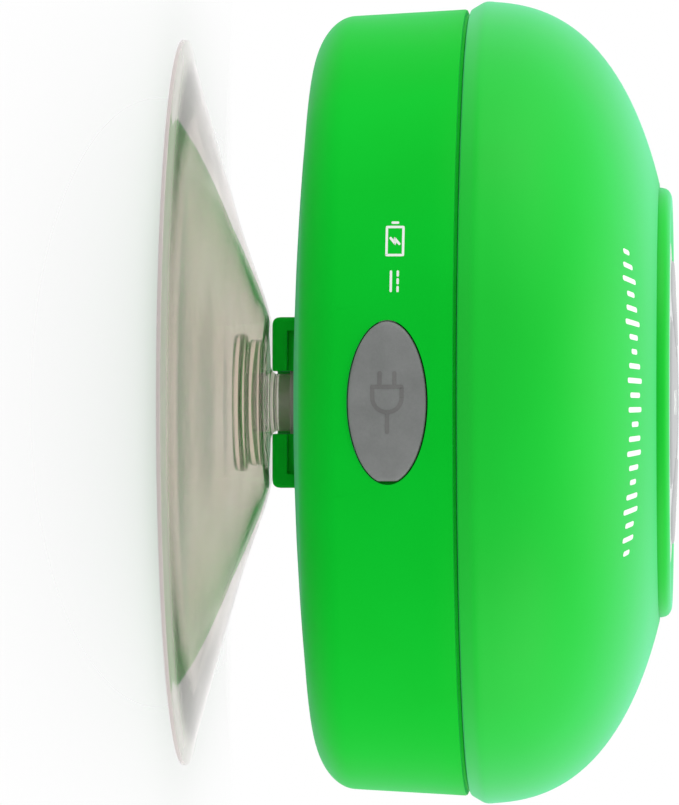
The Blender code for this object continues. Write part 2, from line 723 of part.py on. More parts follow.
def main_board():
    board = block(
        "main_board",
        (-BOARD_HALF_WIDTH, BOARD_FRONT_Y, BOARD_BOTTOM_Z),
        (BOARD_HALF_WIDTH, BOARD_BACK_Y, BOARD_TOP_Z),
        GREEN_BOARD,
    )
    for name, at in BOARD_SCREWS.items():
        hole(board, f"{name}_clearance", 1.2, 20, 23, at, 12)
        screw(name, at, 1.8, (BOARD_TOP_Z + REST_GAP, 23.6), 0.85, 17.9)
    top = BOARD_TOP_Z + REST_GAP
    socket = block("usb_socket", (-3.75, -39.5, top), (3.75, -33.9, PORT_Z + 1.25), BRIGHT_STEEL)
    mouth = block("socket_mouth", (-3.4, -41, PORT_Z - 0.9), (3.4, -34.8, PORT_Z + 0.9), None, 0, CUTTERS)
    combine(socket, mouth)
    block("wireless_module", (1.0, -20.0 + 0.8, top), (13.0, -9.0, 24.4), BRIGHT_STEEL, 0.3)
    block("amplifier_chip", (-12.5, -25.5, top), (-7.5, -20.5, 23.4), BLACK_PLASTIC)
    connector = block("ribbon_connector", (-5.0, -22.6, top), (5.0, -19.5, 24.3), WHITE_PLASTIC)
    mouth = block("ribbon_mouth", (-3.9, RIBBON_Y - 0.5, 23.1), (3.9, RIBBON_Y + 0.5, 25), None, 0, CUTTERS)
    combine(connector, mouth)


def ribbon():
    """A flat cable that drops from the button board, past the driver, into its connector."""
    path = [(-16.6, 48.65), (-20.3, 48.65), (RIBBON_Y, 48.1), (RIBBON_Y, 35), (RIBBON_Y, 23.4)]
    mesh = bpy.data.meshes.new("button_ribbon")
    bm = bmesh.new()
    row = [bm.verts.new((-RIBBON_HALF_WIDTH * MM, y * MM, z * MM)) for y, z in path]
    edges = [bm.edges.new(pair) for pair in zip(row, row[1:])]
    swept = bmesh.ops.extrude_edge_only(bm, edges=edges)["geom"]
    far = [item for item in swept if isinstance(item, bmesh.types.BMVert)]
    bmesh.ops.translate(bm, verts=far, vec=(2 * RIBBON_HALF_WIDTH * MM, 0, 0))
    bmesh.ops.recalc_face_normals(bm, faces=bm.faces)
    bm.to_mesh(mesh)
    bm.free()
    obj = bpy.data.objects.new("button_ribbon", mesh)
    PARTS.objects.link(obj)
    skin = obj.modifiers.new("thickness", "SOLIDIFY")
    skin.thickness = 0.25 * MM
    skin.offset = 0
    skin.use_even_offset = True
    return place(obj, "button_ribbon", WHITE_PLASTIC)


def battery_and_leads():
    block("battery_pad", (-14, 0.5, 15.5), (14, 17.0, 16.1), GREY_FOAM)
    block("battery_cell", (-17.5, -2.0, 16.2), (17.5, 20.0, 21.0), SILVER_FOIL, 0.8)
    for name, x, surface in (("battery_lead_red", -6.0, RED_WIRE), ("battery_lead_black", -4.0, BLACK_WIRE)):
        route = [(x, -2.4, 18.4), (x, -4.6, 19.0), (x, -6.4, 22.0), (x, -8.8, 24.0), (x, -10.8, 22.95)]
        wire(name, 0.45, route, surface)
    for name, x, surface in (("speaker_lead_red", 9.6, RED_WIRE), ("speaker_lead_black", 11.4, BLACK_WIRE)):
        route = [(x, -14.6, 35.6), (x, -16.6, 32.0), (x, -19.4, 28.0), (x, -21.2, 25.0), (x, -21.4, 22.95)]
        wire(name, 0.45, route, surface)


suction_cup()
back_shell()
front_shell()
case_fittings()
cup_holder()
port_cap()
grille_bezel()
keys_and_fascia()
button_board()
driver()
moving_cone()
main_board()
ribbon()
battery_and_leads()
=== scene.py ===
"""The looks of a round shower speaker that hangs on a clear suction cup.

Lengths in the sections are in millimetres, and the makers turn them into metres.
The cup's rim lies on Z = 0, the control face looks up, and the charging port looks to -Y.
"""

import math

import bmesh
import bpy
from mathutils import Matrix, Vector


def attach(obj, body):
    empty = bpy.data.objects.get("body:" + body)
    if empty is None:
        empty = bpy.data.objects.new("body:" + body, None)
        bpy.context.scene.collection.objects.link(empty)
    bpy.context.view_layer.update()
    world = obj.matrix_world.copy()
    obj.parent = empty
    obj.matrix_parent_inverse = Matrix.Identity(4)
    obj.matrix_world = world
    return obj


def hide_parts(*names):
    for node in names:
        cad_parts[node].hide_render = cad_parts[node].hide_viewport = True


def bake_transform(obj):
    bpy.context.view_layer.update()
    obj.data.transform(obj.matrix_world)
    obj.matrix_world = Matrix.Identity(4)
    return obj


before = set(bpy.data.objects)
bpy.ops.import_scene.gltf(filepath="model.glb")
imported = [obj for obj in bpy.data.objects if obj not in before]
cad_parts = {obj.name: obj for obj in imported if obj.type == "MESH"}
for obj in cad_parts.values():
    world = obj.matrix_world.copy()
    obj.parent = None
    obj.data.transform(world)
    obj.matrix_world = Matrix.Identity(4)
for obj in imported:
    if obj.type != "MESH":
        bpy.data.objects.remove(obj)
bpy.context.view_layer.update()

# ------------------------------------------------------------------------------------------
# Studio. The speaker lies with its axis level across the view, seen from the port's side.
# A grey table under the cup that fades into a white surround away from the speaker, a painted soft shadow
# round it, and a darker patch behind the camera that keeps the green deep where it faces the lens.

MM = 0.001
CAMERA_AWAY = 843.0
CAMERA_HEIGHT = 62.9
LOOK_AT = 16.7
VIEW_HEIGHT = 86.5

drop = (LOOK_AT - CAMERA_HEIGHT) / math.hypot(CAMERA_AWAY, CAMERA_HEIGHT - LOOK_AT)
ahead = Vector((0, math.sqrt(1 - drop * drop), drop))
lens_turn = Matrix(((0, -1, 0), (-ahead.z, 0, -ahead.y), (ahead.y, 0, -ahead.z)))
camera_data = bpy.data.cameras.new("studio_camera")
camera_data.sensor_width = 36
camera_data.lens = 36 * math.hypot(CAMERA_AWAY, CAMERA_HEIGHT - LOOK_AT) / VIEW_HEIGHT
camera_data.clip_start = 0.02
camera_data.clip_end = 20
camera = bpy.data.objects.new("studio_camera", camera_data)
bpy.context.scene.collection.objects.link(camera)
camera.matrix_world = Matrix.LocRotScale(
    Vector((0, -CAMERA_AWAY, CAMERA_HEIGHT)) * MM, lens_turn.to_quaternion(), None
)
bpy.context.scene.camera = camera
bpy.context.scene.view_settings.view_transform = "Standard"
bpy.context.scene.cycles.max_bounces = 16
bpy.context.scene.cycles.transmission_bounces = 12


def wired(tree, kind, **inputs):
    """Adds a shader node, and sets or joins each named input."""
    node = tree.nodes.new(kind)
    for label, value in inputs.items():
        socket = node.inputs[label.replace("_", " ")] if isinstance(label, str) else node.inputs[label]
        if isinstance(value, bpy.types.NodeSocket):
            tree.links.new(value, socket)
        else:
            socket.default_value = value
    return node


def ramped(tree, factor, *stops):
    """A colour ramp from (place, colour) stops."""
    node = tree.nodes.new("ShaderNodeValToRGB")
    ramp = node.color_ramp
    for place, colour in stops[2:]:
        ramp.elements.new(place)
    for element, (place, colour) in zip(ramp.elements, sorted(stops)):
        element.position = place
        element.color = (*colour, 1) if len(colour) == 3 else colour
    tree.links.new(factor, node.inputs["Fac"])
    return node.outputs["Color"]


surround = bpy.data.worlds.new("white_surround")
bpy.context.scene.world = surround
surround.use_nodes = True
sky = surround.node_tree
sky.nodes.clear()
toward = wired(sky, "ShaderNodeTexCoord").outputs["Generated"]
split = wired(sky, "ShaderNodeSeparateXYZ", Vector=toward)
shade = wired(
    sky, "ShaderNodeMapRange", Value=split.outputs["Y"], From_Min=-1.0, From_Max=-0.1, To_Min=0.7, To_Max=1.0
)
shade.interpolation_type = "SMOOTHSTEP"
glow = wired(sky, "ShaderNodeBackground", Strength=shade.outputs["Result"])
glow.inputs["Color"].default_value = (1.0, 1.0, 1.0, 1)
seen = wired(sky, "ShaderNodeBackground", Color=(1, 1, 1, 1), Strength=1.0)
direct = wired(sky, "ShaderNodeLightPath").outputs["Is Camera Ray"]
sky_mix = sky.nodes.new("ShaderNodeMixShader")
sky.links.new(direct, sky_mix.inputs[0])
sky.links.new(glow.outputs[0], sky_mix.inputs[1])
sky.links.new(seen.outputs[0], sky_mix.inputs[2])
sky.links.new(sky_mix.outputs[0], sky.nodes.new("ShaderNodeOutputWorld").inputs["Surface"])


def soft_box(name, at, size, power):
    """A large square lamp that faces the middle of the speaker."""
    data = bpy.data.lights.new(name, "AREA")
    data.shape = "SQUARE"
    data.size = size * MM
    data.energy = power
    lamp = bpy.data.objects.new(name, data)
    bpy.context.scene.collection.objects.link(lamp)
    lamp.location = Vector(at) * MM
    lamp.rotation_euler = (Vector((0, 0, 25 * MM)) - lamp.location).to_track_quat("-Z", "Y").to_euler()
    lamp.visible_camera = False
    return lamp


soft_box("lamp_above", (-600, -200, 300), 500, 1.8)
soft_box("lamp_below", (600, -200, 300), 500, 1.8)
soft_box("lamp_front", (0, 100, 800), 600, 1.3)

# A grey table, clear from beneath and partly clear to diffuse light. It fades into the white surround away from
# the speaker: a painted soft shadow round it.
table = bpy.data.meshes.new("table")
TABLE_REACH = 4.0
BELOW_RIM = -5e-5
table_sides = ((-1, -1), (1, -1), (1, 1), (-1, 1))
table_corners = [(x * TABLE_REACH, y * TABLE_REACH, BELOW_RIM) for x, y in table_sides]
table.from_pydata(table_corners, [], [(0, 1, 2, 3)])
table_top = bpy.data.objects.new("table", table)
bpy.context.scene.collection.objects.link(table_top)
white = bpy.data.materials.new("table_grey_with_painted_shadow")
white.use_nodes = True
paint = white.node_tree
paint.nodes["Principled BSDF"].inputs["Base Color"].default_value = (0.62, 0.62, 0.62, 1)
paint.nodes["Principled BSDF"].inputs["Roughness"].default_value = 0.7
under_side = wired(paint, "ShaderNodeNewGeometry").outputs["Backfacing"]
table_at = wired(paint, "ShaderNodeTexCoord").outputs["Object"]
table_split = wired(paint, "ShaderNodeSeparateXYZ", Vector=table_at)
spread = wired(paint, "ShaderNodeMath", Value=wired(paint, "ShaderNodeLightPath").outputs["Is Diffuse Ray"])
spread.operation = "MULTIPLY"
spread.inputs[1].default_value = 0.6
either = paint.nodes.new("ShaderNodeMath")
either.operation = "MAXIMUM"
paint.links.new(under_side, either.inputs[0])
paint.links.new(spread.outputs[0], either.inputs[1])
hidden = either.outputs[0]
stretched = wired(paint, "ShaderNodeVectorMath", Vector=table_at)
stretched.operation = "MULTIPLY"
stretched.inputs[1].default_value = (5.5, 1.0, 0.0)
from_middle = wired(paint, "ShaderNodeVectorMath", Vector=stretched.outputs[0])
from_middle.operation = "LENGTH"
# The table turns clear further from the speaker, and behind it sooner, so it is grey near the speaker and white
# further out: painted shadow on top of the lamps' own shadow.
for measure, near, far, least in (
    (from_middle.outputs["Value"], 0.045, 0.3, 0.3),
    (table_split.outputs["Y"], 0.034, 0.08, 0.0),
):
    painted_shadow_fade = wired(paint, "ShaderNodeMapRange", Value=measure, From_Min=near, From_Max=far, To_Min=least)
    painted_shadow_fade.interpolation_type = "SMOOTHSTEP"
    most = paint.nodes.new("ShaderNodeMath")
    most.operation = "MAXIMUM"
    paint.links.new(hidden, most.inputs[0])
    paint.links.new(painted_shadow_fade.outputs["Result"], most.inputs[1])
    hidden = most.outputs[0]
clear = paint.nodes.new("ShaderNodeBsdfTransparent")
one_sided = paint.nodes.new("ShaderNodeMixShader")
paint.links.new(hidden, one_sided.inputs[0])
paint.links.new(paint.nodes["Principled BSDF"].outputs[0], one_sided.inputs[1])
paint.links.new(clear.outputs[0], one_sided.inputs[2])
paint.links.new(one_sided.outputs[0], paint.nodes["Material Output"].inputs["Surface"])
table.materials.append(white)

# ------------------------------------------------------------------------------------------
# Back shell. The rear half of the case, moulded in plastic and sprayed with green soft-touch
# paint. Four deep wells hold the case screws, and an oval recess takes the port's rubber cap.

BODY_RADIUS = 43.0
BACK_Z = 12.3
BACK_DOME_RADIUS = 310.0
PARTING_Z = 30.75
PORT_Z = 23.85
SCREW_CIRCLE = 33.0
SCREW_ANGLES = (45, 135, 225, 315)
SEAT_RADIUS, SEAT_Z = 12.8, 12.75


def made_of(name, colours, rough, grain, depth, settings=None, mottle=None, marks=None):
    """A surface with a fine grain: colours from dark to light, grain and depth in millimetres.
    mottle is the size of its slow colour changes, and marks says how much they do to roughness."""
    made = bpy.data.materials.new(name)
    made.use_nodes = True
    tree = made.node_tree
    surface = tree.nodes["Principled BSDF"]
    place = wired(tree, "ShaderNodeTexCoord").outputs["Object"]
    fine = wired(tree, "ShaderNodeTexNoise", Vector=place, Scale=1 / (grain * MM), Detail=3.0, Roughness=0.6)
    slow = wired(tree, "ShaderNodeTexNoise", Vector=place, Scale=1 / ((mottle or 14) * MM), Detail=2.0)
    tone = wired(tree, "ShaderNodeMath", Value=fine.outputs["Fac"])
    tone.operation = "MULTIPLY_ADD"
    tone.inputs[1].default_value = 0.45
    tree.links.new(slow.outputs["Fac"], tone.inputs[2])
    shades = ramped(tree, tone.outputs[0], (0.45, colours[0]), (0.95, colours[1]))
    tree.links.new(shades, surface.inputs["Base Color"])
    polish = wired(
        tree,
        "ShaderNodeMapRange",
        Value=slow.outputs["Fac"],
        From_Min=0.3,
        From_Max=0.7,
        To_Min=rough - (marks or 0.04),
        To_Max=rough + (marks or 0.04),
    )
    tree.links.new(polish.outputs["Result"], surface.inputs["Roughness"])
    dents = wired(tree, "ShaderNodeBump", Height=fine.outputs["Fac"], Strength=1.0, Distance=depth * MM)
    tree.links.new(dents.outputs["Normal"], surface.inputs["Normal"])
    for label, value in (settings or {}).items():
        surface.inputs[label].default_value = value
    return made


green_paint = made_of(
    "green_soft_touch",
    [(0.0, 0.49, 0.019), (0.0, 0.525, 0.023)],
    0.5,
    0.16,
    0.0035,
    {
        "Specular IOR Level": 0.05,
        "Sheen Weight": 0.2,
        "Sheen Roughness": 0.3,
        "Sheen Tint": (0.35, 1.0, 1.0, 1),
    },
)


def listed(obj_name, mesh, material=None, crisp=32):
    """Puts a mesh in the scene as an object, smooth but for edges sharper than crisp degrees."""
    obj = bpy.data.objects.new(obj_name, mesh)
    bpy.context.scene.collection.objects.link(obj)
    mesh.shade_smooth()
    mesh.set_sharp_from_angle(angle=math.radians(crisp))
    if material:
        mesh.materials.append(material)
    return obj


def eased(corners, closed=False, steps=5):
    """Rounds each corner of an outline. A corner is (a, b) or (a, b, how far back the curve starts)."""
    found = []
    count = len(corners)
    for i, corner in enumerate(corners):
        here = Vector(corner[:2])
        back = corner[2] if len(corner) > 2 else 0
        if not back or (not closed and i in (0, count - 1)):
            found.append(tuple(here))
            continue
        before = Vector(corners[i - 1][:2]) - here
        after = Vector(corners[(i + 1) % count][:2]) - here
        start = here + before.normalized() * min(back, before.length * 0.49)
        end = here + after.normalized() * min(back, after.length * 0.49)
        for k in range(steps + 1):
            t = k / steps
            found.append(tuple(start * (1 - t) ** 2 + here * 2 * t * (1 - t) + end * t * t))
    return found


def turned(profile, steps=192):
    """A solid of revolution from (radius, height) points that run down its outer side."""
    closed = profile[0][0] > 0 or profile[-1][0] > 0
    verts, rows = [], []
    for radius, height in profile:
        if radius <= 0:
            rows.append([len(verts)] * steps)
            verts.append((0, 0, height * MM))
            continue
        rows.append([len(verts) + k for k in range(steps)])
        for k in range(steps):
            angle = 2 * math.pi * k / steps
            verts.append((radius * MM * math.cos(angle), radius * MM * math.sin(angle), height * MM))
    faces = []
    pairs = list(zip(rows, rows[1:])) + ([(rows[-1], rows[0])] if closed else [])
    for upper, lower in pairs:
        for k in range(steps):
            n = (k + 1) % steps
            face = [upper[k], lower[k], lower[n], upper[n]]
            faces.append([v for i, v in enumerate(face) if v not in face[:i]])
    mesh = bpy.data.meshes.new("turned")
    mesh.from_pydata(verts, [], [f for f in faces if len(f) > 2])
    mesh.validate()
    return mesh


def loops_solid(loops, close_ends=True):
    """A closed solid through a stack of matching loops of 3-D points, from its top down."""
    verts = [tuple(c * MM for c in p) for loop in loops for p in loop]
    n = len(loops[0])
    faces = []
    for a in range(len(loops) - 1):
        for k in range(n):
            m = (k + 1) % n
            faces.append((a * n + k, (a + 1) * n + k, (a + 1) * n + m, a * n + m))
    if close_ends:
        faces.append(tuple(range(n)))
        faces.append(tuple((len(loops) - 1) * n + k for k in reversed(range(n))))
    mesh = bpy.data.meshes.new("loops")
    mesh.from_pydata(verts, [], faces)
    bm = bmesh.new()
    bm.from_mesh(mesh)
    bmesh.ops.recalc_face_normals(bm, faces=bm.faces)
    bm.to_mesh(mesh)
    bm.free()
    return mesh


def slab(outline, levels):
    """A solid with one flat outline, from the first level to the last."""
    return loops_solid([[(x, y, z) for x, y in outline] for z in levels])


def rectangle(low_x, low_y, high_x, high_y):
    return [(low_x, low_y), (high_x, low_y), (high_x, high_y), (low_x, high_y)]


def cylinder(radius, low, high, at=(0, 0), steps=64):
    """An upright cylinder, as a mesh."""
    turns = [2 * math.pi * k / steps for k in range(steps)]
    return slab([(at[0] + radius * math.cos(t), at[1] + radius * math.sin(t)) for t in turns], (high, low))


def carved(obj, meshes, operation="DIFFERENCE"):
    """Cuts the meshes from an object, or joins them to it, for good."""
    for mesh in meshes:
        tool = bpy.data.objects.new("tool", mesh)
        bpy.context.scene.collection.objects.link(tool)
        step = obj.modifiers.new("carve", "BOOLEAN")
        step.operation = operation
        step.solver = "EXACT"
        step.object = tool
        bpy.context.view_layer.update()
        result = bpy.data.meshes.new_from_object(obj.evaluated_get(bpy.context.evaluated_depsgraph_get()))
        obj.modifiers.clear()
        old = obj.data
        obj.data = result
        bpy.data.objects.remove(tool)
        bpy.data.meshes.remove(old)
    return obj


def crisp(obj, degrees=32):
    """Smooth shading, but for edges sharper than the angle."""
    obj.data.shade_smooth()
    obj.data.set_sharp_from_angle(angle=math.radians(degrees))
    return obj


def on_circle(radius, degrees):
    return radius * math.cos(math.radians(degrees)), radius * math.sin(math.radians(degrees))


def joined_mesh(meshes):
    """One mesh from several that don't meet."""
    bm = bmesh.new()
    for mesh in meshes:
        bm.from_mesh(mesh)
    whole = bpy.data.meshes.new("joined")
    bm.to_mesh(whole)
    bm.free()
    return whole


def oval_loop(half_long, half_high, y, count=128):
    """An upright oval round the port's centre at one depth."""
    turns = [2 * math.pi * k / count for k in range(count)]
    return [(half_long * math.cos(t), y, PORT_Z + half_high * math.sin(t)) for t in turns]


def port_block(outline, depths=(-41, -37)):
    """A solid with one upright outline round the port's centre, from one depth to the next."""
    return loops_solid([[(x, y, PORT_Z + z) for x, z in outline] for y in depths])


def back_dome(radius):
    """The height of the back's shallow dome."""
    return BACK_Z + radius * radius / (2 * BACK_DOME_RADIUS)


def ellipse_run(centre, width, height, start, end, count):
    """Points along an ellipse, from one angle to another in degrees."""
    turns = [math.radians(start + (end - start) * k / count) for k in range(count + 1)]
    return [(centre[0] + width * math.cos(t), centre[1] + height * math.sin(t)) for t in turns]


floor_in = [(0, 14.5), (10, 14.66), (20, 15.14), (33, 16.26)]
wall_in = ellipse_run((33.2, 20.9), 6.4, 4.6, -85, 0, 10)
wall_in += [(39.9, 31.8), (40.95, 31.8), (40.95, 30.9), (41.5, 30.88), (41.55, 30.8), (41.55, 30.56)]
wall_out = [(41.95, PARTING_Z - 0.19), (42.08, PARTING_Z - 0.25), (42.15, PARTING_Z - 0.42)]
wall_out += [(42.15 - 0.65 * t, 30.4 - 11.65 * t) for t in (0.2, 0.4, 0.6, 0.8)]
corner_out = ellipse_run((34.9, 18.75), 6.6, 4.45, 0, -84, 20)
dome_out = [(r, back_dome(r)) for r in (32, 28, 24, 20, 16, SEAT_RADIUS + 0.15)]
back_profile = floor_in + wall_in + wall_out + corner_out + dome_out
back_profile += [(SEAT_RADIUS, SEAT_Z), (0, SEAT_Z)]
back_shell = listed("back_shell_case", turned(back_profile, 256), green_paint)
bosses = [cylinder(4.2, 15.0, 30.55, on_circle(SCREW_CIRCLE, a), 48) for a in SCREW_ANGLES]
carved(back_shell, [joined_mesh(bosses)], "UNION")
wells = [cylinder(2.7, 10.0, 21.0, on_circle(SCREW_CIRCLE, a), 48) for a in SCREW_ANGLES]
holes = [cylinder(1.5, 20.9, 32.0, on_circle(SCREW_CIRCLE, a), 32) for a in SCREW_ANGLES]
pad = slab(rectangle(-9.6, -40.4, 9.6, -38.2), (PORT_Z + 5.2, PORT_Z - 5.2))
carved(back_shell, [pad], "UNION")
recess = loops_solid([oval_loop(8.43, 4.16, -45), oval_loop(8.43, 4.16, -40.1)])
window = port_block(eased([(4.2, -1.7, 0.4), (4.2, 1.7, 0.4), (-4.2, 1.7, 0.4), (-4.2, -1.7, 0.4)], True))
root_slot = port_block([(-6.2, -1.5), (-6.2, 1.5), (-7.8, 1.5), (-7.8, -1.5)])
carved(back_shell, [joined_mesh(wells), joined_mesh(holes), recess, window, root_slot])
scoop_rows = 16
scoop = [
    [
        (
            9.15 + 1.9 * math.cos(2 * math.pi * k / 48) * math.sin(math.pi * (i + 0.5) / scoop_rows),
            -42.0 + 0.85 * math.cos(math.pi * (i + 0.5) / scoop_rows),
            PORT_Z + 2.1 * math.sin(2 * math.pi * k / 48) * math.sin(math.pi * (i + 0.5) / scoop_rows),
        )
        for k in range(48)
    ]
    for i in range(scoop_rows)
]
carved(back_shell, [loops_solid(scoop)])
crisp(back_shell)
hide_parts("back_shell")
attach(back_shell, "case")

# ------------------------------------------------------------------------------------------
# Electronics. A glass-fibre board on two posts, with the wireless module under its steel can,
# the amplifier, the charging socket and the flat cable's connector soldered on.

solder_mask = made_of(
    "solder_mask", [(0.004, 0.09, 0.035), (0.012, 0.16, 0.06)],
    0.35, 0.4, 0.006, {"Coat Weight": 0.5}, 3,
)
tinned_steel = made_of(
    "tinned_steel", [(0.48, 0.49, 0.5), (0.66, 0.66, 0.66)],
    0.3, 0.3, 0.004, {"Metallic": 1.0}, 4, 0.08,
)
chip_epoxy = made_of("chip_epoxy", [(0.012, 0.012, 0.013), (0.03, 0.03, 0.032)], 0.55, 0.12, 0.008)
nylon_white = made_of(
    "nylon_white", [(0.62, 0.61, 0.56), (0.78, 0.77, 0.73)],
    0.4, 0.3, 0.004, {"Subsurface Weight": 0.15},
)


def dressed(nodes, material):
    """Gives CAD pieces their finish."""
    for node in nodes:
        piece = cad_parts[node]
        piece.data.materials.clear()
        piece.data.materials.append(material)


dressed(["main_board", "button_board"], solder_mask)
dressed(["usb_socket", "wireless_module", "board_screw_1", "board_screw_2"], tinned_steel)
dressed(["amplifier_chip"], chip_epoxy)
dressed(["ribbon_connector", "button_ribbon"], nylon_white)

# ------------------------------------------------------------------------------------------
# Battery. A lithium pouch cell in crimped foil, held on the shell's floor by a foam pad, with
# two silicone-covered leads. Two more leads go from the board to the loudspeaker.

crimped_foil = made_of(
    "crimped_foil", [(0.5, 0.51, 0.52), (0.72, 0.73, 0.75)],
    0.32, 1.6, 0.05, {"Metallic": 0.85}, 6, 0.1,
)
open_foam = made_of("open_foam", [(0.015, 0.015, 0.017), (0.09, 0.09, 0.1)], 0.95, 0.35, 0.12)
red_silicone = made_of("red_silicone", [(0.4, 0.008, 0.008), (0.6, 0.02, 0.015)], 0.4, 0.2, 0.004)
black_silicone = made_of("black_silicone", [(0.008, 0.008, 0.008), (0.025, 0.025, 0.025)], 0.4, 0.2, 0.004)
dressed(["battery_cell"], crimped_foil)
dressed(["battery_pad", "driver_gasket"], open_foam)
dressed(["battery_lead_red", "speaker_lead_red"], red_silicone)
dressed(["battery_lead_black", "speaker_lead_black"], black_silicone)

# ------------------------------------------------------------------------------------------
# Loudspeaker. A pressed steel frame with a ferrite ring magnet, a copper voice coil on an
# amber cloth spider, and a pressed paper cone in a rubber surround.

zinc_steel = made_of(
    "zinc_steel", [(0.42, 0.43, 0.44), (0.62, 0.62, 0.6)],
    0.34, 0.5, 0.006, {"Metallic": 1.0}, 8, 0.1,
)
sintered_ferrite = made_of(
    "sintered_ferrite", [(0.02, 0.02, 0.022), (0.06, 0.06, 0.065)],
    0.6, 0.3, 0.02, {"Metallic": 0.3},
)
wound_copper = made_of(
    "wound_copper", [(0.5, 0.17, 0.07), (0.78, 0.34, 0.17)],
    0.32, 0.15, 0.03, {"Metallic": 1.0},
)
pressed_paper = made_of("pressed_paper", [(0.012, 0.012, 0.014), (0.05, 0.05, 0.055)], 0.9, 0.25, 0.05)
resin_cloth = made_of("resin_cloth", [(0.35, 0.17, 0.04), (0.6, 0.36, 0.13)], 0.85, 0.3, 0.06)
black_rubber = made_of("black_rubber", [(0.012, 0.012, 0.013), (0.03, 0.03, 0.032)], 0.6, 0.2, 0.01)
dressed(["driver_frame", "top_plate", "yoke", "driver_screw_1", "driver_screw_2", "driver_screw_3"], zinc_steel)
dressed(["magnet_ring"], sintered_ferrite)
dressed(["voice_coil"], wound_copper)
dressed(["cone", "dust_cap"], pressed_paper)
dressed(["spider"], resin_cloth)
dressed(["surround"], black_rubber)

# ------------------------------------------------------------------------------------------
# Front shell. The domed cover, sprayed like the back. Its paint is a lighter copy of the back's
# with more sheen: painted light, for the brighter light on the front. It ends in a soft ridge
# and a bevel at the joint line, where a black seal lies hidden in the tongue and groove.

DOME_BASE_Z, DOME_RISE = 31.0, 22.27
DOME_POWER, DOME_UP_POWER = 2.35, 2.65


def dome_z(radius, wall=0):
    """The height of the front's dome, or of its inner face when wall is its thickness."""
    share = max(1 - (radius / (BODY_RADIUS - wall)) ** DOME_POWER, 0)
    return DOME_BASE_Z + (DOME_RISE - wall) * share ** (1 / DOME_UP_POWER)


# A lighter copy of the back's paint, with more sheen and specular: painted light for the front, which faces the
# brighter light.
lit_front_paint = made_of(
    "green_soft_touch_lit_front",
    [(0.0, 0.51, 0.02), (0.0, 0.545, 0.024)],
    0.5,
    0.16,
    0.0035,
    {
        "Specular IOR Level": 0.2,
        "Sheen Weight": 0.5,
        "Sheen Roughness": 0.38,
        "Sheen Tint": (0.4, 1.0, 1.0, 1),
    },
)
dome_steps = [23.5 + (42.3 - 23.5) * math.sin(math.pi / 2 * k / 26) for k in range(27)]
front_profile = [(23.35, dome_z(23.35) - 0.12)] + [(r, dome_z(r)) for r in dome_steps]
front_profile += [(r, dome_z(r)) for r in (42.5, 42.65, 42.78, 42.88, 42.94)]
front_profile += eased(
    [(42.985, 33.2), (BODY_RADIUS, 32.5, 0.5), (42.14, 31.05, 0.15), (41.9, 30.95, 0.1), (41.3, 30.95)]
)
front_profile += [(41.3, 33.7)] + [(r, dome_z(r, 2)) for r in (40.9, 40.2, 39, 37.5, 35, 32, 29, 26)]
front_profile += [(25.6, 48.3), (25.2, 47.6), (25.2, 45.4), (18.6, 45.4)]
front_profile += [(18.6, 47.0), (21.4, 47.0), (21.4, 49.8), (23.35, 49.8)]
front_shell = listed("front_shell_case", turned(front_profile, 256), lit_front_paint)
posts = [cylinder(3.6, 30.95, 44.9, on_circle(SCREW_CIRCLE, a), 48) for a in SCREW_ANGLES]
carved(front_shell, [joined_mesh(posts)], "UNION")
pilots = [cylinder(1.3, 30.0, 35.0, on_circle(SCREW_CIRCLE, a), 32) for a in SCREW_ANGLES]
slit = slab(rectangle(-3.5, -21.1, 3.5, -20.4), (47.5, 44.0))
driver_pilots = [cylinder(0.95, 44.0, 48.6, on_circle(22.9, a), 24) for a in (90, 210, 330)]
carved(front_shell, [joined_mesh(pilots), joined_mesh(driver_pilots), slit])
crisp(front_shell)
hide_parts("front_shell")
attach(front_shell, "case")

seal_section = ellipse_run((40.45, 32.75), 0.5, 0.85, 90, -255, 23)
seal_ring = listed("case_seal_ring", turned(seal_section, 192), black_rubber)
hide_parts("case_seal")
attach(seal_ring, "case")

# ------------------------------------------------------------------------------------------
# Case screws. Four self-tapping screws with a round head and a cross recess, at the bottom of
# the wells in the back, where they show through the clear cup.

screw_side = [(0, 33.4), (0.35, 33.3), (1.1, 32.4), (1.1, 20.9), (2.4, 20.9)]
screw_side += eased([(2.4, 20.9), (2.4, 20.0, 0.5), (1.9, 19.35, 0.5), (0, 19.2)])[1:]
cross = [
    loops_solid([[(x * w, y * w, z) for x, y in rectangle(-a, -b, a, b)] for z, w in ((20.15, 0.6), (19.0, 1.0))])
    for a, b in ((1.35, 0.27), (0.27, 1.35))
]
for number, angle in enumerate(SCREW_ANGLES, 1):
    case_screw = listed(f"case_screw_{number}_steel", turned(screw_side, 48), zinc_steel)
    carved(case_screw, [mesh.copy() for mesh in cross])
    x, y = on_circle(SCREW_CIRCLE, angle)
    case_screw.data.transform(Matrix.Translation((x * MM, y * MM, 0)))
    crisp(case_screw)
    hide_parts(f"case_screw_{number}")
    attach(case_screw, "case")

# ------------------------------------------------------------------------------------------
# Bezel and sound cloth. A green raised ring with slots that let the sound out, pressed into the
# front shell, and a black woven ring glued behind it.

bezel_side = eased(
    [
        (18.0, 51.5, 0.1),
        (20.7, 52.17, 0.3),
        (21.4, 52.42, 0.4),
        (22.2, 52.41, 0.4),
        (22.85, 51.97, 0.3),
        (23.05, 51.3, 0.4),
        (23.05, 49.9, 0.1),
        (16.4, 49.9, 0.1),
        (16.4, 51.5, 0.1),
    ],
    True,
    8,
)
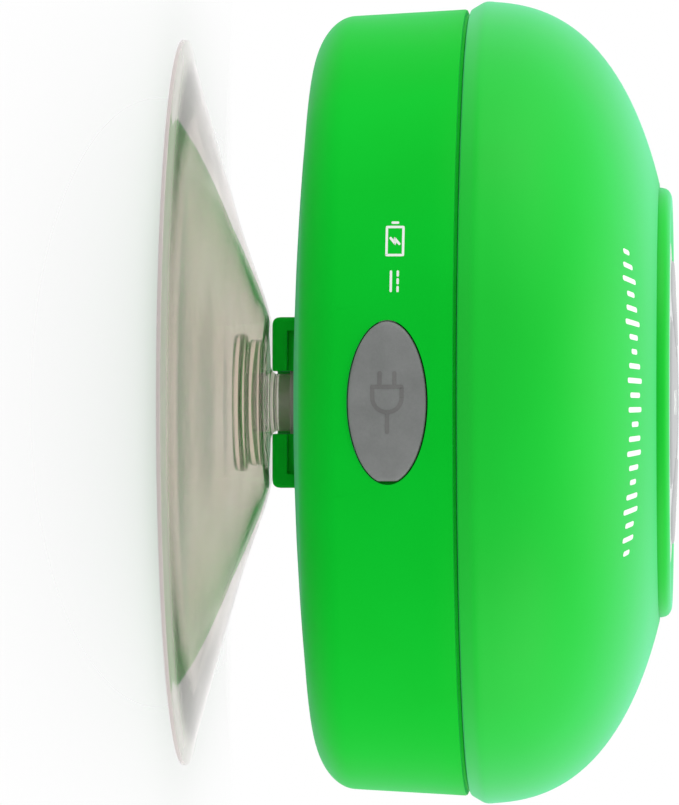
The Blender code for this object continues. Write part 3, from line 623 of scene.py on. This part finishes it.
# The bezel takes the front's lighter copy of the paint, which is painted light.
bezel = listed("bezel_ring", turned(bezel_side, 240), lit_front_paint)
slot_tools = []
for number in range(24):
    turn = Matrix.Rotation(2 * math.pi * (number + 0.5) / 24, 4, "Z")
    outline = ellipse_run((19.95, 0), 0.75, 0.75, -90, 90, 10)
    outline += ellipse_run((19.25, 0), 0.75, 0.75, 90, 270, 10)
    tool = slab(outline, (54, 49))
    tool.transform(turn)
    slot_tools.append(tool)
carved(bezel, [joined_mesh(slot_tools)])
crisp(bezel)
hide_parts("grille_bezel")
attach(bezel, "case")

sound_cloth = bpy.data.materials.new("sound_cloth")
sound_cloth.use_nodes = True
weave = sound_cloth.node_tree
thread_at = wired(weave, "ShaderNodeTexCoord").outputs["Object"]
warp = wired(weave, "ShaderNodeTexWave", Vector=thread_at, Scale=1100.0)
warp.bands_direction = "X"
weft = wired(weave, "ShaderNodeTexWave", Vector=thread_at, Scale=1100.0)
weft.bands_direction = "Y"
crossing = wired(weave, "ShaderNodeMath")
crossing.operation = "MULTIPLY"
weave.links.new(warp.outputs["Fac"], crossing.inputs[0])
weave.links.new(weft.outputs["Fac"], crossing.inputs[1])
cloth_bsdf = weave.nodes["Principled BSDF"]
threads = ramped(weave, crossing.outputs[0], (0.1, (0.05, 0.05, 0.055)), (0.8, (0.004, 0.004, 0.004)))
weave.links.new(threads, cloth_bsdf.inputs["Base Color"])
raised = wired(weave, "ShaderNodeBump", Height=crossing.outputs[0], Distance=5e-5)
weave.links.new(raised.outputs["Normal"], cloth_bsdf.inputs["Normal"])
cloth_bsdf.inputs["Roughness"].default_value = 0.8
dressed(["acoustic_mesh"], sound_cloth)

# ------------------------------------------------------------------------------------------
# Switches. Five small push switches on the round button board, a microphone, and a light with
# a clear pipe that ends in the fascia.

clear_acrylic = made_of(
    "clear_acrylic", [(0.9, 0.91, 0.93), (0.96, 0.96, 0.98)],
    0.12, 0.5, 0.002, {"Transmission Weight": 0.8, "IOR": 1.49},
)
KEYS = {"next": 0, "call": 90, "previous": 180, "play": 270}
dressed(["power_switch"] + [f"{key}_switch" for key in KEYS], chip_epoxy)
dressed(["power_plunger", "status_led"] + [f"{key}_plunger" for key in KEYS], nylon_white)
dressed(["microphone"], tinned_steel)
dressed(["light_pipe"], clear_acrylic)

# ------------------------------------------------------------------------------------------
# Fascia. A pale grey shallow dome, moulded and painted, with openings for the keys, a pinhole
# for the microphone and a window for the light.

silver_paint = made_of(
    "silver_paint", [(0.50, 0.505, 0.51), (0.60, 0.605, 0.61)],
    0.34, 0.1, 0.002, {"Metallic": 0.15, "Coat Weight": 0.2, "Coat Roughness": 0.25},
)
FACE_TOP_Z = 52.85
KEY_MIDDLE, KEY_HALF = 10.8, 4.4


def face_z(radius):
    """The height of the fascia's shallow dome."""
    return FACE_TOP_Z - 0.6 * (radius / 17.4) ** 2


def key_loop(angle, share, grow=0.0, count=96):
    """Points round a key: a quarter of a ring with soft corners, shrunk to a share of its size."""
    loop = []
    for k in range(count):
        t = 2 * math.pi * k / count
        c, s = math.cos(t), math.sin(t)
        across = share * math.copysign(abs(c) ** 0.3, c)
        out = share * math.copysign(abs(s) ** 0.3, s)
        radius = KEY_MIDDLE + (KEY_HALF + grow) * out
        half_turn = 45 - math.degrees(math.asin((1.35 - grow) / radius))
        loop.append(on_circle(radius, angle + half_turn * across))
    return loop


fascia_side = [(0, FACE_TOP_Z)] + [(r, face_z(r)) for r in (2, 4, 6, 8, 10, 12, 14, 15.5, 16.6)]
fascia_side += eased([(16.9, face_z(16.9)), (17.4, face_z(17.4) - 0.04, 0.3), (17.4, 51.6, 0.08), (16.9, 51.6)])
fascia_side.append((0, 51.6))
fascia = listed("fascia_dome", turned(fascia_side, 192), silver_paint)
key_tools = [slab(key_loop(angle, 1, 0.25), (54, 51)) for angle in KEYS.values()]
pin_holes = [cylinder(0.45, 51, 54, on_circle(13.2, 45), 24), cylinder(0.85, 51, 54, on_circle(13.2, 135), 32)]
carved(fascia, [joined_mesh(key_tools), cylinder(5.25, 51, 54, (0, 0), 96), joined_mesh(pin_holes)])
crisp(fascia)
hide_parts("control_fascia")
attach(fascia, "case")

# ------------------------------------------------------------------------------------------
# Keys. Four keys round a power key, moulded in grey silicone, domed like the fascia and a
# quarter of a millimetre proud of it. White ink marks them: power, play, call and track keys.

key_rubber = made_of(
    "key_rubber", [(0.34, 0.345, 0.35), (0.42, 0.425, 0.43)],
    0.5, 0.14, 0.004, {"Specular IOR Level": 0.4},
)
white_ink = made_of("white_ink", [(0.74, 0.78, 0.74), (0.86, 0.88, 0.86)], 0.45, 0.1, 0.002)


def ink_mark(name, strokes, width, lay, body, material, lift=0.03, gap=0.12):
    """Printed or moulded lines. Each stroke is a run of points on a flat plan, made into a round-ended
    band, and lay(u, v) gives the point and the outward direction on the real surface."""
    bm = bmesh.new()
    for stroke in strokes:
        thick = width
        if isinstance(stroke[0], (int, float)):
            thick, stroke = stroke[0], stroke[1]
        points = [Vector(stroke[0])]
        for point in stroke[1:]:
            step = Vector(point) - points[-1]
            pieces = max(1, math.ceil(step.length / gap))
            start = points[-1].copy()
            points += [start + step * (k + 1) / pieces for k in range(pieces)]
        left, right = [], []
        for k, point in enumerate(points):
            along = (points[min(k + 1, len(points) - 1)] - points[max(k - 1, 0)]).normalized()
            side = Vector((-along.y, along.x)) * thick / 2
            left.append(point + side)
            right.append(point - side)
        start_along = (points[0] - points[1]).normalized() * thick / 2
        end_along = (points[-1] - points[-2]).normalized() * thick / 2
        start_side = Vector((start_along.y, -start_along.x))
        end_side = Vector((-end_along.y, end_along.x))
        for k in (1, 2, 3):
            sweep, reach_out = math.cos(k * math.pi / 8), math.sin(k * math.pi / 8)
            left.insert(0, points[0] + start_side * sweep + start_along * reach_out)
            right.insert(0, points[0] - start_side * sweep + start_along * reach_out)
            left.append(points[-1] + end_side * sweep + end_along * reach_out)
            right.append(points[-1] - end_side * sweep + end_along * reach_out)
        tops, feet = [], []
        for row, height in ((tops, lift), (feet, -0.05)):
            for side_points in (left, right):
                made = []
                for u, v in side_points:
                    place, out = lay(u, v)
                    made.append(bm.verts.new((Vector(place) + Vector(out) * height) * MM))
                row.append(made)
        last = len(left) - 1
        for k in range(last):
            bm.faces.new((tops[0][k], tops[1][k], tops[1][k + 1], tops[0][k + 1]))
            bm.faces.new((feet[0][k + 1], feet[1][k + 1], feet[1][k], feet[0][k]))
            bm.faces.new((tops[0][k + 1], feet[0][k + 1], feet[0][k], tops[0][k]))
            bm.faces.new((tops[1][k], feet[1][k], feet[1][k + 1], tops[1][k + 1]))
        bm.faces.new((tops[0][0], feet[0][0], feet[1][0], tops[1][0]))
        bm.faces.new((tops[1][last], feet[1][last], feet[0][last], tops[0][last]))
    bmesh.ops.recalc_face_normals(bm, faces=bm.faces)
    mesh = bpy.data.meshes.new(name)
    bm.to_mesh(mesh)
    bm.free()
    mark = listed(name, mesh, material, 40)
    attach(mark, body)
    return mark


def bend(centre, radius, start, end, count=16):
    """A run of points round an arc."""
    return ellipse_run(centre, radius, radius, start, end, count)


def key_face(middle):
    """Lays a flat plan on the keys, with its top towards -X, the way up that the printing has."""
    def lay(u, v):
        x, y = middle[0] - v, middle[1] + u
        return (x, y, face_z(math.hypot(x, y)) + 0.25), (0, 0, 1)

    return lay


TRACK_SIGN = [
    [(-1.5, 1.1), (-0.1, 0), (-1.5, -1.1), (-1.5, 1.1)],
    [(0.1, 1.1), (1.5, 0), (0.1, -1.1), (0.1, 1.1)],
    [(1.95, 1.1), (1.95, -1.1)],
]
KEY_ICONS = {
    "next": TRACK_SIGN,
    "previous": [[(-x, y) for x, y in run] for run in TRACK_SIGN],
    "play": [
        [(-1.6, 1.2), (0.2, 0), (-1.6, -1.2), (-1.6, 1.2)],
        [(0.9, 1.2), (0.9, -1.2)],
        [(1.7, 1.2), (1.7, -1.2)],
    ],
}
handset = [
    (0.42, bend((0, -1.7), 2.35, 126, 54)),
    (0.95, [(-1.42, -0.05), (-1.55, -0.5)]),
    (0.95, [(1.42, -0.05), (1.55, -0.5)]),
]
KEY_ICONS["call"] = [(wide, [((-x - y) * 0.75, (x - y) * 0.75) for x, y in run]) for wide, run in handset]
KEY_CROWN = [
    (0.02, 0), (0.3, 0), (0.55, 0), (0.75, 0), (0.88, 0),
    (0.93, 0.02), (0.97, 0.08), (0.99, 0.17), (1.0, 0.3),
]
KEY_PROUD = 0.25
for key, angle in KEYS.items():
    loops = []
    for share, drop_by in KEY_CROWN:
        plan = key_loop(angle, share)
        loops.append([(x, y, face_z(math.hypot(x, y)) + KEY_PROUD - drop_by) for x, y in plan])
    loops.append([(x, y, 51.0) for x, y in key_loop(angle, 1.0)])
    cap = listed(f"{key}_key_cap", loops_solid(loops), key_rubber)
    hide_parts(f"{key}_key")
    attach(cap, f"{key}_key")
    face = key_face(on_circle(10.9, angle))
    ink_mark(f"{key}_key_mark", KEY_ICONS[key], 0.28, face, f"{key}_key", white_ink)

power_side = [(0, 53.1), (2, 53.095), (3.6, 53.06)]
power_side += eased([(4.3, 53.02), (5.0, 52.95, 0.35), (5.0, 51.45, 0.1)])
power_side += [(5.0, 51.45), (5.6, 51.45), (5.6, 51.0), (0, 51.0)]
power_cap = listed("power_key_cap", turned(power_side, 96), key_rubber)
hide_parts("power_key")
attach(power_cap, "power_key")
power_icon = [bend((0, 0), 1.5, 125, 415, 32), [(0, 0.5), (0, 1.9)]]


def on_power(u, v):
    """Lays a flat plan on the power key, with its top towards -X."""
    return (-v, u, 53.1 - 0.002 * (u * u + v * v)), (0, 0, 1)


ink_mark("power_key_mark", power_icon, 0.28, on_power, "power_key", white_ink)

# ------------------------------------------------------------------------------------------
# Cup holder. A green clip moulded with a keyhole slot, bonded to the middle of the back. The
# cup's round head slides into it from the port's side.


def u_outline(half, front, corner):
    """Straight arms to the front with soft corners, and a half circle at the rear."""
    rear = bend((0, 0), half, 0, 180, 40)
    arms = [(-half, -0.1), (-half, front, corner), (half, front, corner), (half, -0.1)]
    return rear + eased(arms, False, 8)[1:-1]


holder_loops = []
for z, pull in ((12.65, 0), (10.85, 0), (10.45, 0.06), (10.2, 0.2), (10.03, 0.42), (9.95, 0.7)):
    holder_loops.append([(x, y, z) for x, y in u_outline(9.1 - pull, -8.3 + pull, 0.5)])
holder = listed("cup_holder_clip", loops_solid(holder_loops), green_paint)
head_room = slab(u_outline(7.6, -12, 0.1), (14, 11.6))
neck_room = slab(u_outline(3.35, -12, 0.1), (14, 8))
stops = [slab([(side * x, y) for x, y in rectangle(3.0, -7.4, 7.8, -6.6)], (12.6, 11.3)) for side in (-1, 1)]
carved(holder, [head_room])
carved(holder, stops, "UNION")
carved(holder, [neck_room])
softer = holder.modifiers.new("soft_edges", "BEVEL")
softer.width = 0.12 * MM
softer.segments = 2
softer.limit_method = "ANGLE"
softer.angle_limit = math.radians(50)
crisp(holder)
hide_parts("cup_holder")
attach(holder, "case")

# ------------------------------------------------------------------------------------------
# Suction cup. One moulding of clear soft vinyl: a thin cone with a flat lip, a thick stepped
# hub, a neck, and a round head that sits in the holder.

cup_top = eased(
    [
        (0, 12.6),
        (7.0, 12.6, 0.25),
        (7.0, 11.75, 0.2),
        (3.1, 11.75, 0.35),
        (3.1, 9.7, 0.3),
        (3.6, 9.35, 0.3),
        (8.9, 9.35, 0.6),
        (12.0, 8.42, 0.8),
        (18.6, 6.08, 1.5),
        (25.7, 4.02, 2.5),
        (33.6, 1.75, 2.5),
        (37.4, 0.72, 1.0),
        (39.0, 0.4, 0.12),
        (39.0, 0.0),
    ],
    False,
    6,
)
cup_under = eased(
    [
        (39.0, 0.0),
        (38.0, 0.0, 0.1),
        (33.3, 1.0, 1.5),
        (25.4, 3.05, 2.5),
        (18.2, 5.1, 1.5),
        (11.4, 7.45, 0.8),
        (9.0, 8.3, 0.5),
        (7.9, 8.3, 0.5),
        (6.8, 7.9, 0.5),
        (6.8, 6.75, 0.5),
        (6.4, 6.6, 0.15),
        (7.4, 6.5, 0.7),
        (7.4, 4.95, 0.9),
        (0, 4.85),
    ],
    False,
    6,
)
clear_vinyl = bpy.data.materials.new("clear_vinyl")
clear_vinyl.use_nodes = True
vinyl = clear_vinyl.node_tree
vinyl_bsdf = vinyl.nodes["Principled BSDF"]
vinyl_at = wired(vinyl, "ShaderNodeTexCoord").outputs["Object"]
flow = wired(vinyl, "ShaderNodeTexNoise", Vector=vinyl_at, Scale=90.0, Detail=2.0)
vinyl_tone = ramped(vinyl, flow.outputs["Fac"], (0.3, (0.985, 0.89, 0.842)), (0.7, (1.0, 0.928, 0.89)))
split_at = wired(vinyl, "ShaderNodeSeparateXYZ", Vector=vinyl_at)
flat_at = wired(vinyl, "ShaderNodeCombineXYZ", X=split_at.outputs["X"], Y=split_at.outputs["Y"])
from_axis = wired(vinyl, "ShaderNodeVectorMath", Vector=flat_at.outputs[0])
from_axis.operation = "LENGTH"
milky = wired(
    vinyl,
    "ShaderNodeMapRange",
    Value=from_axis.outputs["Value"],
    From_Min=0.0355,
    From_Max=0.0378,
    To_Min=0.0,
    To_Max=1.0,
)
milky.interpolation_type = "SMOOTHSTEP"
lip_tone = wired(vinyl, "ShaderNodeMix")
lip_tone.data_type = "RGBA"
vinyl.links.new(milky.outputs["Result"], lip_tone.inputs["Factor"])
vinyl.links.new(vinyl_tone, lip_tone.inputs[6])
lip_tone.inputs[7].default_value = (0.88, 0.79, 0.78, 1)
vinyl.links.new(lip_tone.outputs[2], vinyl_bsdf.inputs["Base Color"])
neck_up = wired(
    vinyl,
    "ShaderNodeMapRange",
    Value=split_at.outputs["Z"],
    From_Min=0.0093,
    From_Max=0.0099,
    To_Min=0.95,
    To_Max=0.7,
)
clearness = wired(vinyl, "ShaderNodeMath")
clearness.operation = "MULTIPLY_ADD"
vinyl.links.new(milky.outputs["Result"], clearness.inputs[0])
clearness.inputs[1].default_value = -0.5
vinyl.links.new(neck_up.outputs["Result"], clearness.inputs[2])
vinyl.links.new(clearness.outputs[0], vinyl_bsdf.inputs["Transmission Weight"])
ripples = wired(vinyl, "ShaderNodeBump", Height=flow.outputs["Fac"], Strength=0.5, Distance=4e-5)
vinyl.links.new(ripples.outputs["Normal"], vinyl_bsdf.inputs["Normal"])
vinyl_bsdf.inputs["Roughness"].default_value = 0.05
vinyl_bsdf.inputs["IOR"].default_value = 1.3
suction_cup = listed("suction_cup_vinyl", turned(cup_top + cup_under[1:], 256), clear_vinyl, 40)
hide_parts("suction_cup")
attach(suction_cup, "suction_cup")

# ------------------------------------------------------------------------------------------
# Port cap. A grey silicone plug that follows the curve of the case, with a plug mark moulded
# into its face. Its strap's root is pushed through the shell, and a web at one end is its hinge.

CAP_RADIUS = 41.95
cap_rubber = made_of(
    "cap_rubber", [(0.16, 0.168, 0.163), (0.20, 0.207, 0.203)],
    0.55, 0.3, 0.012, {"Specular IOR Level": 0.4}, 3,
)
mark_rubber = made_of(
    "mark_rubber", [(0.13, 0.13, 0.128), (0.165, 0.165, 0.16)],
    0.6, 0.3, 0.01, {"Specular IOR Level": 0.3}, 3,
)


def cap_loop(share, sink=0.0, flat=None, count=128):
    """The cap's oval, shrunk to a share of its size, on the curve of the case or on a flat depth."""
    loop = []
    for k in range(count):
        t = 2 * math.pi * k / count
        x, z = 8.3 * share * math.cos(t), 4.03 * share * math.sin(t)
        x = min(x, 8.05 * share)
        y = flat if flat is not None else -math.sqrt(CAP_RADIUS**2 - x * x) + sink
        loop.append((x, y, PORT_Z + z))
    return loop


CAP_CROWN = [
    (0.02, 0), (0.25, 0), (0.5, 0), (0.72, 0), (0.88, 0),
    (0.94, 0.01), (0.97, 0.05), (0.99, 0.14), (1.0, 0.28),
]
cap_loops = [cap_loop(share, sink) for share, sink in CAP_CROWN]
cap_loops += [cap_loop(1.0, 0, -40.42), cap_loop(0.97, 0, -40.4), cap_loop(0.02, 0, -40.4)]
port_plug = listed("port_cap_plug", loops_solid(cap_loops), cap_rubber)
tongue_plan = eased([(3.8, -1.35, 0.8), (3.8, 1.35, 0.8), (-3.8, 1.35, 0.8), (-3.8, -1.35, 0.8)], True)
tongue_rows = ((-39.8, 0.86), (-39.95, 1.0), (-40.9, 1.0))
tongue = loops_solid([[(x * s, y, PORT_Z + z * s) for x, z in tongue_plan] for y, s in tongue_rows])
carved(port_plug, [tongue], "UNION")
crisp(port_plug, 40)
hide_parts("port_cap")
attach(port_plug, "port_cap")


def on_cap(u, v):
    """Lays a flat plan on the cap's face, with its top towards -X."""
    x, z = -v, PORT_Z + u
    out = Vector((x, -math.sqrt(CAP_RADIUS**2 - x * x), 0)).normalized()
    return (out.x * CAP_RADIUS, out.y * CAP_RADIUS, z), tuple(out)


plug_mark = [
    [(-0.75, 3.0), (-0.75, 1.9)],
    [(0.75, 3.0), (0.75, 1.9)],
    [(-1.5, 1.6), (1.5, 1.6), (1.5, 0.5), *bend((0, 0.5), 1.5, 0, -180, 18), (-1.5, 1.6)],
    [(0, -1.1), (0, -3.0)],
]
ink_mark("port_cap_mark", plug_mark, 0.42, on_cap, "port_cap", mark_rubber, 0.02)
dressed(["cap_tether"], cap_rubber)

web_plan = [(-8.75, -40.75), (-8.75, -40.5), (-8.0, -40.5), (-8.0, -40.75)]
web = slab(web_plan, (PORT_Z + 0.9, PORT_Z, PORT_Z - 0.9))
cap_web = listed("port_cap_web", web, cap_rubber)
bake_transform(cap_web)

# ------------------------------------------------------------------------------------------
# Printing. White ink pad-printed on the painted case: a row of sound bars on the front's
# shoulder, and the direct current sign with a battery sign beside the port.


SHOULDER_ARC, SHOULDER_CENTRE_Y = 67.0, 36.9


def dome_slope(radius):
    """The dome's rise for each millimetre away from the axis."""
    return (dome_z(radius + 0.05) - dome_z(radius - 0.05)) / 0.1


def on_shoulder(u, v):
    """Lays a row across the shoulder on a wide arc. u runs along it, and v up towards the face."""
    turn = u / SHOULDER_ARC
    x, y = SHOULDER_ARC * math.sin(turn), SHOULDER_CENTRE_Y - SHOULDER_ARC * math.cos(turn)
    level = v / math.sqrt(1 + dome_slope(math.hypot(x, y)) ** 2)
    x, y = x - math.sin(turn) * level, y + math.cos(turn) * level
    r = math.hypot(x, y)
    slope = dome_slope(r)
    out = Vector((-slope * x / r, -slope * y / r, 1)).normalized()
    return (x, y, dome_z(r)), tuple(out)


BAR_HEIGHTS = (0.9, 1.7, 2.6, 1.3, 2.1, 3.0, 1.6, 0.9, 2.3, 3.1, 2.0)
BAR_HEIGHTS += (2.8, 1.2, 2.4, 3.0, 1.8, 1.0, 2.2, 2.9, 1.5, 2.0, 0.9)
BAR_STEP = 1.5
bars = []
for k, height in enumerate(BAR_HEIGHTS):
    u = (k - 10.5) * BAR_STEP
    bars.append([(u, -height / 2), (u, height / 2)])
ink_mark("sound_bars_print", bars, 0.55, on_shoulder, "case", white_ink, 0.02)


def on_wall(u, v):
    """Lays a plan on the side of the back shell. Its right is towards -X, and its top towards the cup."""
    z = 24.5 - v
    radius = 42.15 - 0.65 * (30.4 - z) / 11.65
    turn = math.asin((-14.9 - u) / radius)
    out = Vector((math.sin(turn), -math.cos(turn), -0.05)).normalized()
    return (radius * math.sin(turn), -radius * math.cos(turn), z), tuple(out)


charge_mark = [
    [(-3.5, 0.35), (-1.5, 0.35)],
    [(-3.5, -0.35), (-3.1, -0.35)],
    [(-2.7, -0.35), (-2.3, -0.35)],
    [(-1.9, -0.35), (-1.5, -0.35)],
    [(0.2, 0.85), (3.1, 0.85), (3.1, -0.85), (0.2, -0.85), (0.2, 0.85)],
    [(3.55, 0.28), (3.55, -0.28)],
    [(1.95, 0.45), (1.35, -0.04), (1.95, 0.04), (1.35, -0.45)],
]
ink_mark("charge_print", charge_mark, 0.25, on_wall, "case", white_ink, 0.02)
